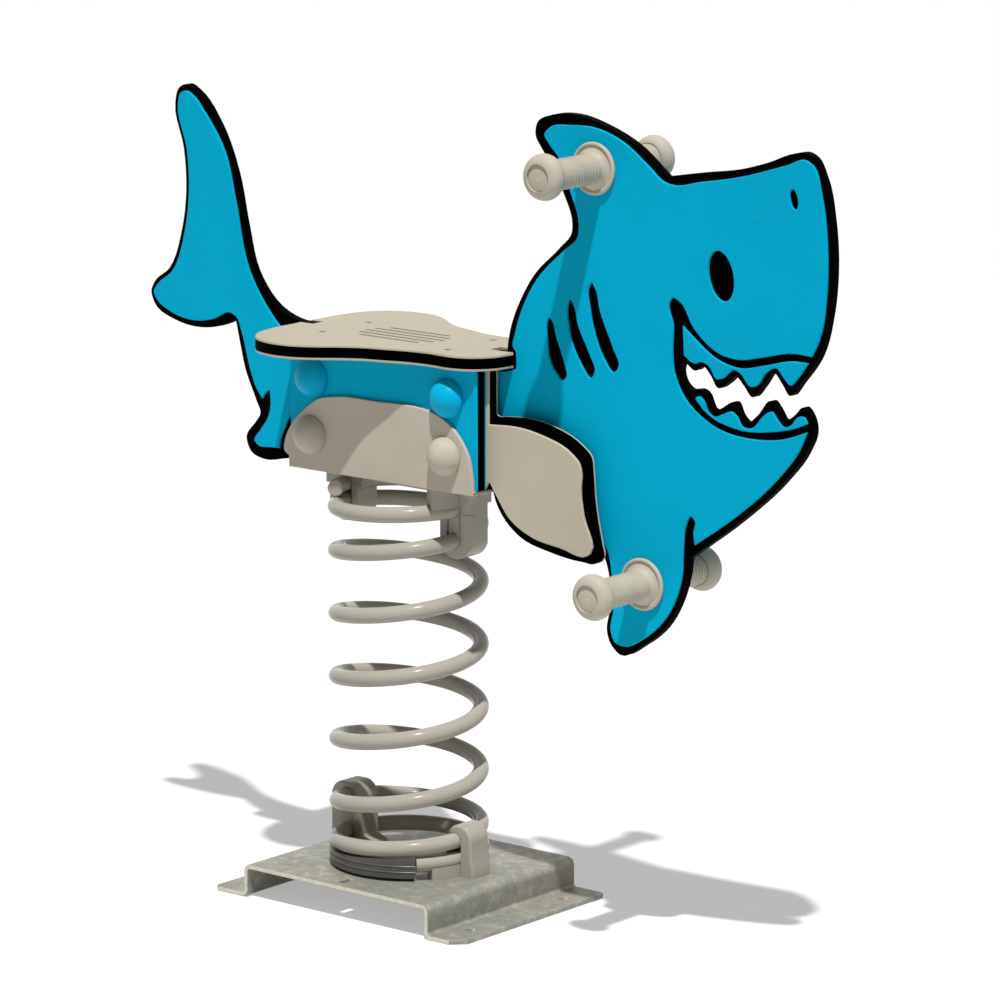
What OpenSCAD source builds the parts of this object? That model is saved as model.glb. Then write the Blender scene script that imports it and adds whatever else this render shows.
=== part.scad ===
// Spring rider with a shark figure: base plate, coil spring, saddle, panels, seat and grips.
// Millimetres, +X forward, +Y to the rider's left, +Z up.
// The origin is on the ground, on the axis of the spring.

/* [Figure] */
// Overall length of the shark figure, which scales every panel outline
figure_length = 1073; // [900:1:1300]
// Thickness of the three-layer sheet
sheet = 19; // [15:0.5:24]
// Thickness of each coloured layer of the sheet
skin = 3; // [2:0.5:4]
// Gap between the shark panel and a fin panel, held by spacers
panel_gap = 5.5; // [3:0.5:12]

/* [Spring] */
// Outside diameter of the coil
coil_diameter = 200; // [160:1:240]
// Diameter of the wire
wire = 20; // [16:0.5:24]
// Rise of one turn in the free part of the spring
pitch = 80; // [66:1:100]
// Number of turns from cut end to cut end
turns = 7.73; // [6:0.01:9]
// Height of the lower wire end above the base plate
end_lift = 20; // [16:0.5:24]

/* [Base plate] */
// Length of the raised part of the base plate
base_length = 302; // [260:1:380]
// Depth of the base plate
base_depth = 286; // [240:1:360]
// Height of the raised part
base_height = 43; // [36:1:60]
// Thickness of the base plate
base_sheet = 6; // [4:0.5:8]
// Length of each foot flange
flange_length = 50; // [42:1:70]
// Diameter of the anchor holes
anchor_hole = 14; // [10:0.5:18]
// Distance between the anchor holes across the depth
anchor_spacing = 180; // [140:1:220]

/* [Clamps] */
// Width of a clamp along the wire
clamp_width = 36; // [28:1:44]
// Wall of a lower clamp beside the wire
foot_wall = 9; // [7:0.5:12]
// Wall of an upper clamp beside the wire
hook_wall = 13.5; // [12:0.5:16]
// Diameter of the lower clamp bolts
foot_bolt = 10; // [8:1:12]
// Diameter of the upper clamp bolts
hook_bolt = 8; // [6:1:8]

/* [Saddle] */
// Thickness of the saddle floor
saddle_floor = 5; // [5:0.5:8]
// Thickness of a saddle cheek
cheek = 5; // [4:0.5:8]
// Diameter of the through bolts
panel_bolt = 12; // [10:1:14]
// Diameter of a bolt cap
cap_diameter = 48; // [42:1:52]

/* [Seat] */
// Largest width of the seat
seat_width = 280; // [240:1:340]
// Diameter of a seat screw head
screw_head = 12; // [10:0.5:14]
// Width of the routed grip lines in the seat
grip_line = 5; // [3:0.5:6]

/* [Grips] */
// Distance from the middle of the part to the end of a grip
grip_reach = 118; // [100:1:140]
// Diameter of the hand and foot grips
grip_diameter = 37.5; // [30:0.5:42]
// Diameter of the grip flanges
grip_flange = 64; // [54:1:76]
// Diameter of the knob at the end of a grip
grip_knob = 56; // [48:1:64]
// Diameter of the rods that hold the grips
rod = 12; // [8:1:14]

/* [Hidden] */
// Which sub-part is drawn

$fn = 64;

blue = "#00A8D0";
black = "#15161A";
stone = "#C4BBAA";
zinc = "#A9AEA8";
steel = "#8C9094";
dark = "#33343A";

// Play left around a bolt or rod in its hole
bolt_play = 0.6;
// Play left between the wire and the clamps
wire_play = 0.6;
// A cut runs this far past the face that it leaves
past = 1;

// Size of the figure against the length that its outlines are drawn for
drawn_length = 1073;
k = figure_length / drawn_length;

// Distances from the middle plane to the faces of the panels
half_sheet = sheet / 2;
half_core = half_sheet - skin;
fin_inner = half_sheet + panel_gap;
fin_outer = fin_inner + sheet;
side_inner = fin_outer;
side_outer = side_inner + sheet;
cheek_outer = side_outer + cheek;

// Coil: the lower end is on the bearing start_angle, and the wire climbs counter-clockwise
coil_radius = (coil_diameter - wire) / 2;
start_angle = -44.5;
start_height = base_height + end_lift;
// Rise of a turn where the wire lies in the cradles, where it lifts off, and in the closed upper end
rest_pitch = wire * 0.56;
lift_pitch = wire * 2;
high_pitch = wire * 0.93;
// Turns at which one rise passes into the next, and how long each passage is
lift_from = 0.51;
lift_span = 0.3;
free_from = 1.29;
free_span = 0.42;
high_span = 1.8;
closed_turns = 0.45;
high_from = turns - closed_turns - high_span;

// Turns climbed while one rise per turn passes smoothly into another
function eased(u) = u < 0 ? 0 : u < 1 ? u * u * u - u * u * u * u / 2 : u - 0.5;
function wire_height(s) = start_height + rest_pitch * s
  + (lift_pitch - rest_pitch) * lift_span * eased((s - lift_from) / lift_span)
  + (pitch - lift_pitch) * free_span * eased((s - free_from) / free_span)
  - (pitch - high_pitch) * high_span * eased((s - high_from) / high_span);
function wire_angle(s) = start_angle + 360 * s;
function wire_point(s) = [
  coil_radius * cos(wire_angle(s)),
  coil_radius * sin(wire_angle(s)),
  wire_height(s)
];
// Slope of the wire against the level, in degrees
function wire_tilt(s) =
  let(step = 0.01)
  atan((wire_height(s + step) - wire_height(s - step)) / (2 * step) / (2 * PI * coil_radius));

// Turn numbers at which the wire passes the front and rear clamps
low_front = -start_angle / 360;
low_rear = low_front + 0.5;
high_front = low_front + floor(turns - low_front);
high_rear = low_rear + floor(turns - low_rear);

// Heights of the saddle and of what stands on it
top_room = 8.5;
saddle_under = wire_height(turns) + wire / 2 + top_room;
saddle_top = saddle_under + saddle_floor;
// The outlines count their heights from a level a little under the top of the saddle floor
outline_drop = 2.8 * k;
outline_level = saddle_top - outline_drop;
seat_under = 152.5 * k;
seat_over = seat_under + sheet;

// Through bolts: two that hold the panels together, two that hold them in the saddle
bolt_x = 109 * k;
upper_bolt_z = 113.5 * k;
lower_bolt_z = 42.5 * k;
hand_place = [301 * k, 407 * k];
foot_place = [377 * k, -86.4 * k];

function flat(p) = [p[0], p[1]];
function corner(p) = len(p) == 3;
function direction(a, b) = (b - a) / norm(b - a);
// Direction of a smooth curve at b between its neighbours a and c, by the lengths of both chords
function heading(a, b, c) =
  let(before = norm(b - a), after = norm(c - b))
  (direction(a, b) * after + direction(b, c) * before) / (before + after);
function between(a, b, from, to, u) = let(d = norm(b - a))
  (2 * u * u * u - 3 * u * u + 1) * a + (u * u * u - 2 * u * u + u) * d * from
  + (3 * u * u - 2 * u * u * u) * b + (u * u * u - u * u) * d * to;
// Closed curve through the control points. A third number marks a sharp corner.
function outline(points, steps = 5) = let(n = len(points)) [
  for (i = [0 : n - 1])
    let(
      first = points[i],
      last = points[(i + 1) % n],
      a = flat(points[(i + n - 1) % n]),
      b = flat(first),
      c = flat(last),
      d = flat(points[(i + 2) % n]),
      from = corner(first) ? direction(b, c) : heading(a, b, c),
      to = corner(last) ? direction(b, c) : heading(b, c, d),
      count = corner(first) && corner(last) ? 1 : steps
    )
    for (j = [0 : count - 1]) k * between(b, c, from, to, j / count)
];
// Oval from its centre, half width, half height and lean
function oval(shape, count = 28) = [
  for (i = [0 : count - 1])
    let(a = 360 * i / count, x = shape[1] * cos(a), y = shape[2] * sin(a), lean = shape[3])
    k * (shape[0] + [x * cos(lean) - y * sin(lean), x * sin(lean) + y * cos(lean)])
];

// Outlines are length and height above outline_level, for the figure at its photographed size

// Edge of the shark panel, from the seat up the back fin, over the head, mouth, keel and tail
shark_edge = [
  [164, 152.5, 0], [164, 173], [170, 204], [184, 236], [206, 270], [246, 307], [263, 326], [264, 334],
  [249, 375], [220, 419], [207, 440], [210, 454], [233, 465], [268, 468], [314, 458], [358, 440],
  [405, 406, 0], [456, 415], [506, 423], [553, 436], [591, 450], [606, 452], [618, 447], [631, 426],
  [644, 374], [648, 326], [643, 266], [629, 217], [603, 182],
  [588, 166], [577, 179], [565, 191], [548, 172], [534, 158], [521, 171], [510, 180], [498, 171],
  [484, 163], [472, 178], [461, 187], [450, 180], [432, 188], [428, 180], [433, 163],
  [441, 157], [458, 158], [464, 155], [477, 136], [487, 139], [507, 149], [517, 133], [525, 127],
  [541, 137], [561, 157], [570, 148], [580, 136], [595, 144], [607, 155], [619, 142],
  [622, 128], [611, 100], [582, 64], [519, 8], [442, -48, 0],
  [439, -69], [429, -101], [408, -136], [374, -164], [340, -180], [324, -167], [319, -153], [323, -127],
  [322, -84], [313, -60], [270, -38], [200, -10], [185, 3.3, 0], [-155, 3.3, 0],
  [-199, -7], [-235, -12], [-256, -5], [-264, 13], [-246, 37], [-240, 46], [-246.5, 62], [-254.5, 78],
  [-263.5, 97], [-272, 127],
  [-280, 161, 0], [-309, 150], [-345, 145], [-380, 149], [-421, 169], [-426, 183], [-420, 196],
  [-394, 216], [-371, 269], [-363, 320], [-366, 371], [-380, 430], [-374, 448], [-361, 454],
  [-347, 448], [-308, 406], [-281, 348], [-265, 282], [-248, 226], [-213, 187], [-171, 172],
  [-148, 171.5, 0], [-148, 152.5, 0]
];
// Blue layer of the shark: body, head, fins and tail inside the routed black line
shark_blue = [
  [160, 146, 0], [173, 149.5], [179, 151.5], [180, 158], [179.7, 166], [178.6, 173], [174.5, 178],
  [174, 183], [176, 189], [183, 212], [211, 264], [256, 306], [274, 322], [276, 336],
  [263, 375], [244, 416], [230, 430], [223, 441], [230, 449], [264, 455], [300, 455], [340, 443],
  [384, 414], [402, 401], [412, 398], [458, 405], [511, 415], [583, 436], [608, 444], [620, 438],
  [632, 406], [641, 347], [641, 292], [632, 238], [621, 216, 0],
  [596, 217], [548, 207], [518, 201], [489, 204], [450, 230], [427, 261], [418, 264], [413, 257],
  [419, 230], [418, 202], [421, 175], [436, 147], [478, 118], [540, 109], [580, 114], [616, 127, 0],
  [605, 104], [574, 66], [508, 9], [453, -29, 0], [451, -14], [453, 0], [447, 5], [441, -4],
  [436, -36], [434, -72], [415, -118], [379, -153], [346, -168], [334, -165], [327, -152],
  [331, -124], [328, -82], [321, -53], [312, -42], [270, -26], [205, 2], [190, 9, 0],
  [-196, 7, 0], [-190, 30], [-181, 50], [-180, 55], [-185, 52], [-196, 34], [-203, 20], [-206, 6, 0],
  [-223, 5], [-241, 5], [-248, 11], [-239, 24], [-224, 45], [-220, 66], [-223, 78], [-227, 75],
  [-234, 66, 0], [-245, 80], [-254, 101], [-269, 150], [-276, 165], [-287, 170], [-316, 159],
  [-340, 154], [-370, 155], [-394, 162], [-411, 171], [-419, 184], [-412, 194], [-387, 213],
  [-364, 267], [-356, 320], [-359, 372], [-373, 430], [-369, 442], [-359, 446], [-347, 441],
  [-328, 422], [-294, 375], [-276, 312], [-254, 227], [-225, 184], [-202, 161], [-184, 149], [-165, 146, 0]
];
// Blue strips of the upper and lower teeth
upper_teeth = [
  [433, 232, 0], [450, 219], [489, 196], [518, 191], [548, 197], [596, 208], [616, 208, 0],
  [600, 187], [591, 179], [581, 187], [570, 197], [558, 192], [540, 172], [533, 171], [518, 185],
  [510, 188], [492, 176], [484, 174], [471, 189], [461, 192], [451, 189], [435, 197, 0]
];
lower_teeth = [
  [453, 149], [459, 150.5], [464, 147], [472, 133], [480, 129], [492, 133], [506, 138], [513, 134],
  [522, 122], [535, 122], [555, 141], [564, 145], [572, 137], [581, 129], [590, 131], [604, 144],
  [611, 144], [616, 137, 0], [603, 131], [559, 120], [529, 117], [506, 119], [482, 126], [465, 136]
];
// Eye and nostril, ovals cut through the blue layer
eye = [[489, 297], 18, 30, 13.5];
nostril = [[593, 397], 5.5, 12, 12];
// Gill slits from the rear to the front
gills = [
  [[231, 220], [227, 211], [228, 193], [232, 169], [242, 154], [253, 146], [258, 152], [255, 165],
   [241, 200], [235, 217]],
  [[263, 246], [259, 233], [261, 215], [267, 191], [278, 172], [296, 154], [301, 163], [293, 182],
   [275, 216], [268, 240]],
  [[296, 269], [291, 260], [293, 239], [301, 208], [312, 184], [331, 165], [337, 172], [328, 195],
   [308, 238], [302, 261]]
];
// Side panel, a plain board under the seat
side_edge = [[-147, 3.3, 0], [154, 3.3, 0], [154, 152.5, 0], [-147, 152.5, 0]];
// Fin panel: the same board with a breast fin in front
fin_edge = [
  [-147, 152.5, 0], [-147, 3.3, 0], [161, 3.3, 0], [166, -11], [177, -28], [205, -50], [251, -62],
  [300, -67], [320, -66], [325, -57], [322, -45], [311, 9], [308, 42], [305, 60], [290, 73],
  [248, 90], [206, 95.5], [175, 93.8], [161.5, 92.7], [158, 94], [157, 98, 0], [157, 152.5, 0]
];
// Outer layer of the fin panel inside its routed black line
fin_face = [
  [-147, 152.5, 0], [-147, 3.3, 0], [152, 3.3, 0], [157, 12], [166, 1], [191, -30], [222, -46],
  [269, -54], [310, -58], [315, -54], [304, -8], [300, 22], [301, 42], [297, 54], [287, 63],
  [238, 81], [200, 86], [157, 84, 0], [157, 152.5, 0]
];
// Cheek of the saddle, between the ends of its floor
saddle_rear = -146;
saddle_front = 152.5;
cheek_edge = [
  [saddle_rear, 0, 0], [saddle_rear, 12, 0], [-154, 18], [-154, 25], [-145, 47], [-118, 75], [-97, 89],
  [-70, 95], [0, 97], [70, 97], [92, 93], [115, 82], [133, 65], [145, 46],
  [149.5, 28], [152, 12], [saddle_front, 0, 0]
];
// Half of the seat outline from front to rear: length, then half width at the drawn width
drawn_seat_width = 280;
seat_half = [
  [176.5, 11, 0], [175.7, 22], [173, 38], [167, 49], [152, 64],
  [128, 72], [100, 70], [70, 72], [31, 83], [0, 93],
  [-18, 104], [-42, 122], [-68, 136], [-100, 139.5],
  [-137, 126.5], [-158.5, 99], [-166, 70], [-167, 12, 0]
];

// A flat shape of length and height, standing upright between two distances from the middle
module upright(low, high) {
  translate([0, high, 0])
    rotate([90, 0, 0])
      linear_extrude(high - low)
        children();
}

// Everything on the saddle is drawn from the level of the outlines
module on_saddle() {
  translate([0, 0, outline_level])
    children();
}

module at_bolts(heights) {
  for (x = [-bolt_x, bolt_x], z = heights)
    translate([x, z])
      children();
}

// Holes for the through bolts in a panel
module bolt_holes(heights = [lower_bolt_z, upper_bolt_z]) {
  at_bolts(heights)
    circle(d = panel_bolt + bolt_play);
}

module rod_holes() {
  for (place = [hand_place, foot_place])
    translate(place)
      circle(d = rod + bolt_play);
}

module left() {
  mirror([0, 1, 0])
    children();
}

module rear() {
  rotate([0, 0, 180])
    children();
}

// A ring of the coil's own circle, tilted as the wire is at turn s where it passes the front:
// the bed of the wire in a clamp. The clamps at the rear are turned half round.
module wire_bed(s) {
  translate([0, 0, wire_height(s)])
    rotate([wire_tilt(s), 0, 0])
      rotate_extrude($fn = 96)
        translate([coil_radius, 0])
          circle(d = wire + wire_play * 2, $fn = 32);
}

// Round slot along the coil between two heights, a little wider than the beds
slot_play = 0.25;
slot_half = wire / 2 + wire_play + slot_play;
module coil_slot(low, high) {
  translate([0, 0, low])
    rotate_extrude($fn = 96)
      translate([coil_radius - slot_half, 0])
        square([slot_half * 2, high - low]);
}

// Round bar along the coil from one bearing to another, a little narrower than the wire
bar_play = 0.3;
bar_half = wire / 2 - bar_play;
module coil_bar(low, high, from, to) {
  rotate([0, 0, from])
    translate([0, 0, low])
      rotate_extrude(angle = to - from, $fn = 96)
        translate([coil_radius - bar_half, 0])
          square([bar_half * 2, high - low]);
}

// Base plate: a bent hat section with two foot flanges and anchor holes
inner_bend = 4;
bend = base_sheet + inner_bend;
module bend_ring(turn) {
  rotate(turn)
    intersection() {
      difference() {
        circle(bend);
        circle(bend - base_sheet);
      }
      square(bend);
    }
}
module hat_half() {
  web = base_length / 2;
  translate([web - bend, base_height - bend])
    bend_ring(0);
  translate([web - base_sheet, bend])
    square([base_sheet, base_height - bend * 2]);
  translate([web - base_sheet + bend, bend])
    bend_ring(180);
  translate([web - base_sheet + bend, 0])
    square([flange_length + base_sheet - bend, base_sheet]);
  translate([0, base_height - base_sheet])
    square([web - bend, base_sheet]);
}
// Cut corners of the flanges: a long cut at two opposite corners, a short one at the others
long_cut = 17;
short_cut = 5;
anchor_x = base_length / 2 + flange_length / 2;
module flange_corner(x, y, cut) {
  translate([x * (base_length / 2 + flange_length), y * base_depth / 2, 0])
    rotate([0, 0, 45])
      cube([cut * sqrt(2), cut * sqrt(2), base_sheet * 3], center = true);
}
module base_plate() {
  color(zinc)
    difference() {
      upright(-base_depth / 2, base_depth / 2) {
        hat_half();
        mirror([1, 0])
          hat_half();
      }
      for (x = [-anchor_x, anchor_x], y = [-anchor_spacing / 2, anchor_spacing / 2])
        translate([x, y, -past])
          cylinder(d = anchor_hole, h = base_sheet + past * 2);
      for (x = [-1, 1], y = [-1, 1])
        flange_corner(x, y, x == y ? short_cut : long_cut);
      base_slots();
      all_foot_bolts()
        translate([0, 0, -base_sheet - past])
          cylinder(d = foot_bolt + bolt_play, h = base_sheet + past * 2);
    }
}
slot_width = 8;
slot_length = 22;
slot_inset = 23;
module base_slots() {
  for (y = [slot_inset - base_depth / 2, base_depth / 2 - slot_inset])
    translate([0, y, base_height - base_sheet - past])
      linear_extrude(base_sheet + past * 2) {
        square([slot_width, slot_length - slot_width], center = true);
        for (end = [-1, 1])
          translate([0, end * (slot_length - slot_width) / 2])
            circle(d = slot_width);
      }
}

// Ramp under the first free turn, which closes the gap to the base plate. Its outer edge is undercut.
filler_from = 199;
filler_to = 314.4;
filler_room = 1.5;
undercut_height = 4;
undercut_depth = 15;
// Two ribs around its outer face: heights above the base plate, and half their width
filler_ribs = [12, 19.5];
rib = 0.8;
module filler_bar(height) {
  inner = coil_radius - bar_half;
  outer = coil_radius + bar_half;
  rotate([0, 0, filler_from])
    translate([0, 0, base_height])
      rotate_extrude(angle = filler_to - filler_from, $fn = 96)
        polygon([
          [inner, 0], [outer - undercut_depth, 0], [outer, undercut_height],
          for (at = filler_ribs, p = [[outer, at - rib], [outer + rib, at], [outer, at + rib]]) p,
          [outer, height], [inner, height]
        ]);
}
module gap_filler() {
  first = wire_height((filler_from - start_angle) / 360);
  last = wire_height((filler_to - start_angle) / 360);
  reach = 2 * (coil_radius + wire);
  middle = (filler_from + filler_to) / 2;
  chord = 2 * coil_radius * sin((filler_to - filler_from) / 2);
  rise = last - first;
  color(dark)
    difference() {
      filler_bar(last - base_height);
      translate([0, 0, (first + last - wire) / 2 - filler_room])
        rotate([0, 0, middle])
          rotate([atan(rise / chord), 0, 0])
            translate([-reach, -reach, 0])
              cube([reach * 2, reach * 2, reach]);
    }
}

// Lower clamps: a cradle under the wire, and an arch over it that is bolted to the plate
bed_edge = wire / 5;
// Bearings, in degrees from the middle of a clamp, between which its pieces reach
cradle_from = -33;
cradle_to = 14;
rear_cradle_half = 12;
spacer_half = 11.5;
module foot_cradle(s, from, to) {
  color(stone)
    difference() {
      coil_bar(base_height, wire_height(s) - bed_edge, from, to);
      wire_bed(s);
    }
}
module foot_cradle_front() {
  foot_cradle(low_front, cradle_from, cradle_to);
}
module foot_cradle_rear() {
  rear()
    foot_cradle(low_rear, -rear_cradle_half, rear_cradle_half);
}
// Piece between two turns of the wire inside a clamp
module wire_spacer(s) {
  color(stone)
    difference() {
      coil_bar(wire_height(s) + bed_edge, wire_height(s + 1) - bed_edge, -spacer_half, spacer_half);
      wire_bed(s);
      wire_bed(s + 1);
    }
}
module foot_spacer_rear() {
  rear()
    wire_spacer(low_rear);
}
foot_toe = 17.5;
foot_reach = wire / 2 + wire_play + foot_toe;
foot_height = 16;
// Blind holes for the foot bolts, and the room past each bolt's tip
foot_hole = foot_height - 2;
foot_hole_room = 1;
foot_bolt_place = foot_reach - foot_toe / 2;
// Walls of the arches on the inside of the coil, and how far those reach in from the middle of the wire
front_inner_wall = 4;
rear_inner_wall = 14;
front_inner = wire / 2 + wire_play + front_inner_wall;
rear_inner = wire / 2 + wire_play + rear_inner_wall;
module foot_bolt_pair(inner) {
  for (place = [foot_bolt_place, -inner - foot_toe / 2])
    translate([coil_radius + place, 0, base_height])
      children();
}
module all_foot_bolts() {
  foot_bolt_pair(front_inner)
    children();
  rear()
    foot_bolt_pair(rear_inner)
      children();
}
// Outline of an arch over a wire at a height, with feet on the plate and a flat between its two rounds
arch_shift = 5.4;
shoulder = 7;
module arch_outline(height, inner) {
  crown = wire / 2 + wire_play + foot_wall;
  outer = crown + arch_shift;
  inner_reach = inner + foot_toe;
  for (place = [crown - inner, arch_shift])
    translate([coil_radius + place, height])
      circle(crown);
  translate([coil_radius + crown - inner, height])
    square([inner - crown + arch_shift, crown]);
  translate([coil_radius - inner, base_height])
    square([inner + outer, height - base_height]);
  translate([coil_radius - inner_reach, base_height])
    square([inner_reach + foot_reach, foot_height]);
  translate([coil_radius, base_height + foot_height])
    polygon([[-inner_reach, 0], [foot_reach, 0], [outer, shoulder], [-inner, shoulder]]);
}
module foot_arch(s, inner) {
  color(stone)
    difference() {
      upright(-clamp_width / 2, clamp_width / 2)
        arch_outline(wire_height(s), inner);
      coil_slot(base_height - past, wire_height(s) + bed_edge);
      wire_bed(s);
      foot_bolt_pair(inner)
        translate([0, 0, -past])
          cylinder(d = foot_bolt + bolt_play, h = foot_hole + past);
    }
}
module foot_arch_front() {
  foot_arch(low_front + 1, front_inner);
}
module foot_arch_rear() {
  rear()
    foot_arch(low_rear + 1, rear_inner);
}
module foot_bolts() {
  head = foot_bolt * 0.64;
  head_width = foot_bolt * 1.85;
  color(steel)
    all_foot_bolts()
      translate([0, 0, -base_sheet]) {
        cylinder(d = foot_bolt, h = base_sheet + foot_hole - foot_hole_room);
        translate([0, 0, -head])
          cylinder(d = head_width, h = head, $fn = 6);
      }
}

// Coil spring, one tube from the lower cut end to the upper cut end
rings_per_turn = 40;
tube_sides = 8;
ring_count = ceil(turns * rings_per_turn);
function tube_ring(s) =
  let(
    centre = wire_point(s),
    bearing = wire_angle(s),
    tilt = wire_tilt(s),
    out = [cos(bearing), sin(bearing), 0],
    ahead = [-sin(bearing) * cos(tilt), cos(bearing) * cos(tilt), sin(tilt)],
    over = cross(out, ahead)
  )
  [for (j = [0 : tube_sides - 1])
    let(a = 360 * (j + 0.5) / tube_sides)
    centre + wire / 2 * (cos(a) * out + sin(a) * over)];
module spring() {
  points = [for (i = [0 : ring_count]) for (p = tube_ring(turns * i / ring_count)) p];
  last = ring_count * tube_sides;
  walls = [
    for (i = [0 : ring_count - 1], j = [0 : tube_sides - 1])
      let(a = i * tube_sides + j, b = i * tube_sides + (j + 1) % tube_sides)
      for (face = [[a, b, b + tube_sides], [a, b + tube_sides, a + tube_sides]]) face
  ];
  ends = [
    for (j = [1 : tube_sides - 2])
      for (face = [[0, j + 1, j], [last, last + j, last + j + 1]]) face
  ];
  color(stone)
    polyhedron(points = points, faces = concat(walls, ends), convexity = 12);
}
// Least gap of the tube to itself, measured from turn to turn on points of its centre line
half_turn = rings_per_turn / 2;
coil_gaps = [
  for (i = [0 : ring_count - half_turn], j = [i + half_turn : min(ring_count, i + 3 * half_turn)])
    norm(wire_point(turns * i / ring_count) - wire_point(turns * j / ring_count)) - wire
];
echo(least_gap_of_spring_to_itself = min(coil_gaps));

// Upper clamps: a block under the saddle and a hook around the wire, bolted from above
hook_half = wire / 2 + wire_play + hook_wall;
hook_bolt_place = hook_half - hook_wall / 2;
hook_thread = 14;
block_flange = 6;
flange_height = 22;
// Radii of the outer corners of an upper clamp, and which one is on the side of its bar
clamp_corners = [[2, 0], [12, 1]];
// Height at which a hook meets its block, a little under the middle of the upper wire
part_drop = 5;
function part_height(high) = wire_height(high) - part_drop;
// What is cut off a square corner to make it round
module corner_cut(radius) {
  translate([-radius, -radius])
    difference() {
      square(radius + past);
      circle(radius);
    }
}
// Plan of an upper clamp
module clamp_plan(half) {
  difference() {
    translate([coil_radius - half, -clamp_width / 2])
      square([half * 2, clamp_width]);
    for (edge = clamp_corners)
      mirror([0, edge[1]])
        translate([coil_radius + half, clamp_width / 2])
          corner_cut(edge[0]);
  }
}
module front_hook_bolts() {
  for (side = [-1, 1])
    translate([coil_radius + side * hook_bolt_place, 0, 0])
      children();
}
module hanger_hook(low, high) {
  bottom = wire_height(low);
  part_line = part_height(high);
  color(stone)
    difference() {
      intersection() {
        upright(-clamp_width / 2, clamp_width / 2) {
          translate([coil_radius, bottom])
            circle(hook_half);
          translate([coil_radius - hook_half, bottom])
            square([hook_half * 2, part_line - bottom]);
        }
        translate([0, 0, bottom - hook_half])
          linear_extrude(part_line - bottom + hook_half)
            clamp_plan(hook_half);
      }
      coil_slot(bottom - bed_edge, part_line + past);
      wire_bed(low);
      front_hook_bolts()
        translate([0, 0, part_line - hook_thread - past])
          cylinder(d = hook_bolt + bolt_play, h = hook_thread + past * 2);
    }
}
module hanger_hook_front() {
  hanger_hook(high_front - 1, high_front);
}
module hanger_hook_rear() {
  rear()
    hanger_hook(high_rear - 1, high_rear);
}
module hanger_spacer_front() {
  wire_spacer(high_front - 1);
}
// The block also has a bar that follows the wire on one side
module hanger_block(high) {
  part_line = part_height(high);
  color(stone)
    difference() {
      union() {
        translate([0, 0, part_line])
          linear_extrude(saddle_under - part_line)
            clamp_plan(hook_half);
        translate([0, 0, saddle_under - flange_height])
          linear_extrude(flange_height)
            clamp_plan(hook_half + block_flange);
        coil_bar(wire_height(high), saddle_under, cradle_from, 0);
      }
      coil_slot(part_line - past, wire_height(high));
      wire_bed(high);
      front_hook_bolts()
        translate([0, 0, part_line - past])
          cylinder(d = hook_bolt + bolt_play, h = saddle_under - part_line + past * 2);
    }
}
module hanger_block_front() {
  hanger_block(high_front);
}
module hanger_block_rear() {
  rear()
    hanger_block(high_rear);
}
// Flat bar under the saddle floor, from one block to the other
hanger_bar_thick = 12;
module hanger_bar() {
  reach = coil_radius - hook_half - block_flange;
  color(stone)
    translate([-reach, -clamp_width / 2, saddle_under - hanger_bar_thick])
      cube([reach * 2, clamp_width, hanger_bar_thick]);
}
// Countersunk bolts, a little under the face of the saddle floor
sink = hook_bolt / 2;
sink_under = 0.3;
module hook_screws(high) {
  tip = part_height(high) - hook_thread;
  color(steel)
    front_hook_bolts() {
      translate([0, 0, tip])
        cylinder(d = hook_bolt, h = saddle_top - tip - sink);
      translate([0, 0, saddle_top - sink - sink_under])
        cylinder(d1 = hook_bolt, d2 = hook_bolt * 2, h = sink);
    }
}
module hanger_bolts() {
  hook_screws(high_front);
  rear()
    hook_screws(high_rear);
}
module hook_screw_cuts() {
  front_hook_bolts() {
    translate([0, 0, saddle_under - past])
      cylinder(d = hook_bolt + bolt_play, h = saddle_floor + past * 2);
    translate([0, 0, saddle_top - sink - sink_under])
      cylinder(d1 = hook_bolt + bolt_play, d2 = hook_bolt * 2 + bolt_play * 2, h = sink + sink_under * 2);
  }
}

// Saddle: a bent steel channel whose cheeks hold the panels
module saddle() {
  color(stone)
    difference() {
      union() {
        translate([saddle_rear * k, -cheek_outer, saddle_under])
          cube([(saddle_front - saddle_rear) * k, cheek_outer * 2, saddle_floor]);
        on_saddle()
          for (side = [0, 1])
            mirror([0, side, 0])
              upright(side_outer, cheek_outer)
                difference() {
                  polygon(outline(cheek_edge));
                  bolt_holes([lower_bolt_z]);
                }
      }
      hook_screw_cuts();
      rear()
        hook_screw_cuts();
    }
}

// Shark panel: a black core with a routed blue layer on each face
module body_core() {
  color(black)
    on_saddle()
      upright(-half_core, half_core)
        difference() {
          polygon(outline(shark_edge));
          bolt_holes();
          rod_holes();
        }
}
module blue_layer() {
  difference() {
    polygon(outline(shark_blue));
    polygon(oval(eye));
    polygon(oval(nostril));
    for (gill = gills)
      polygon(outline(gill));
    bolt_holes();
    rod_holes();
  }
  polygon(outline(upper_teeth));
  polygon(outline(lower_teeth));
}
module body_skin_right() {
  color(blue)
    on_saddle()
      upright(-half_sheet, -half_core)
        blue_layer();
}
module body_skin_left() {
  left()
    body_skin_right();
}

// Fin panels: three layers, the outer one routed around the breast fin
module fin_core_right() {
  color(black)
    on_saddle()
      upright(-fin_outer + skin, -fin_inner - skin)
        difference() {
          polygon(outline(fin_edge));
          bolt_holes();
        }
}
module fin_face_right() {
  color(stone)
    on_saddle()
      upright(-fin_outer, -fin_outer + skin)
        difference() {
          polygon(outline(fin_face));
          bolt_holes();
        }
}
module fin_back_right() {
  color(stone)
    on_saddle()
      upright(-fin_inner - skin, -fin_inner)
        difference() {
          polygon(outline(fin_edge));
          bolt_holes();
        }
}
module fin_core_left() {
  left()
    fin_core_right();
}
module fin_face_left() {
  left()
    fin_face_right();
}
module fin_back_left() {
  left()
    fin_back_right();
}

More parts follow.
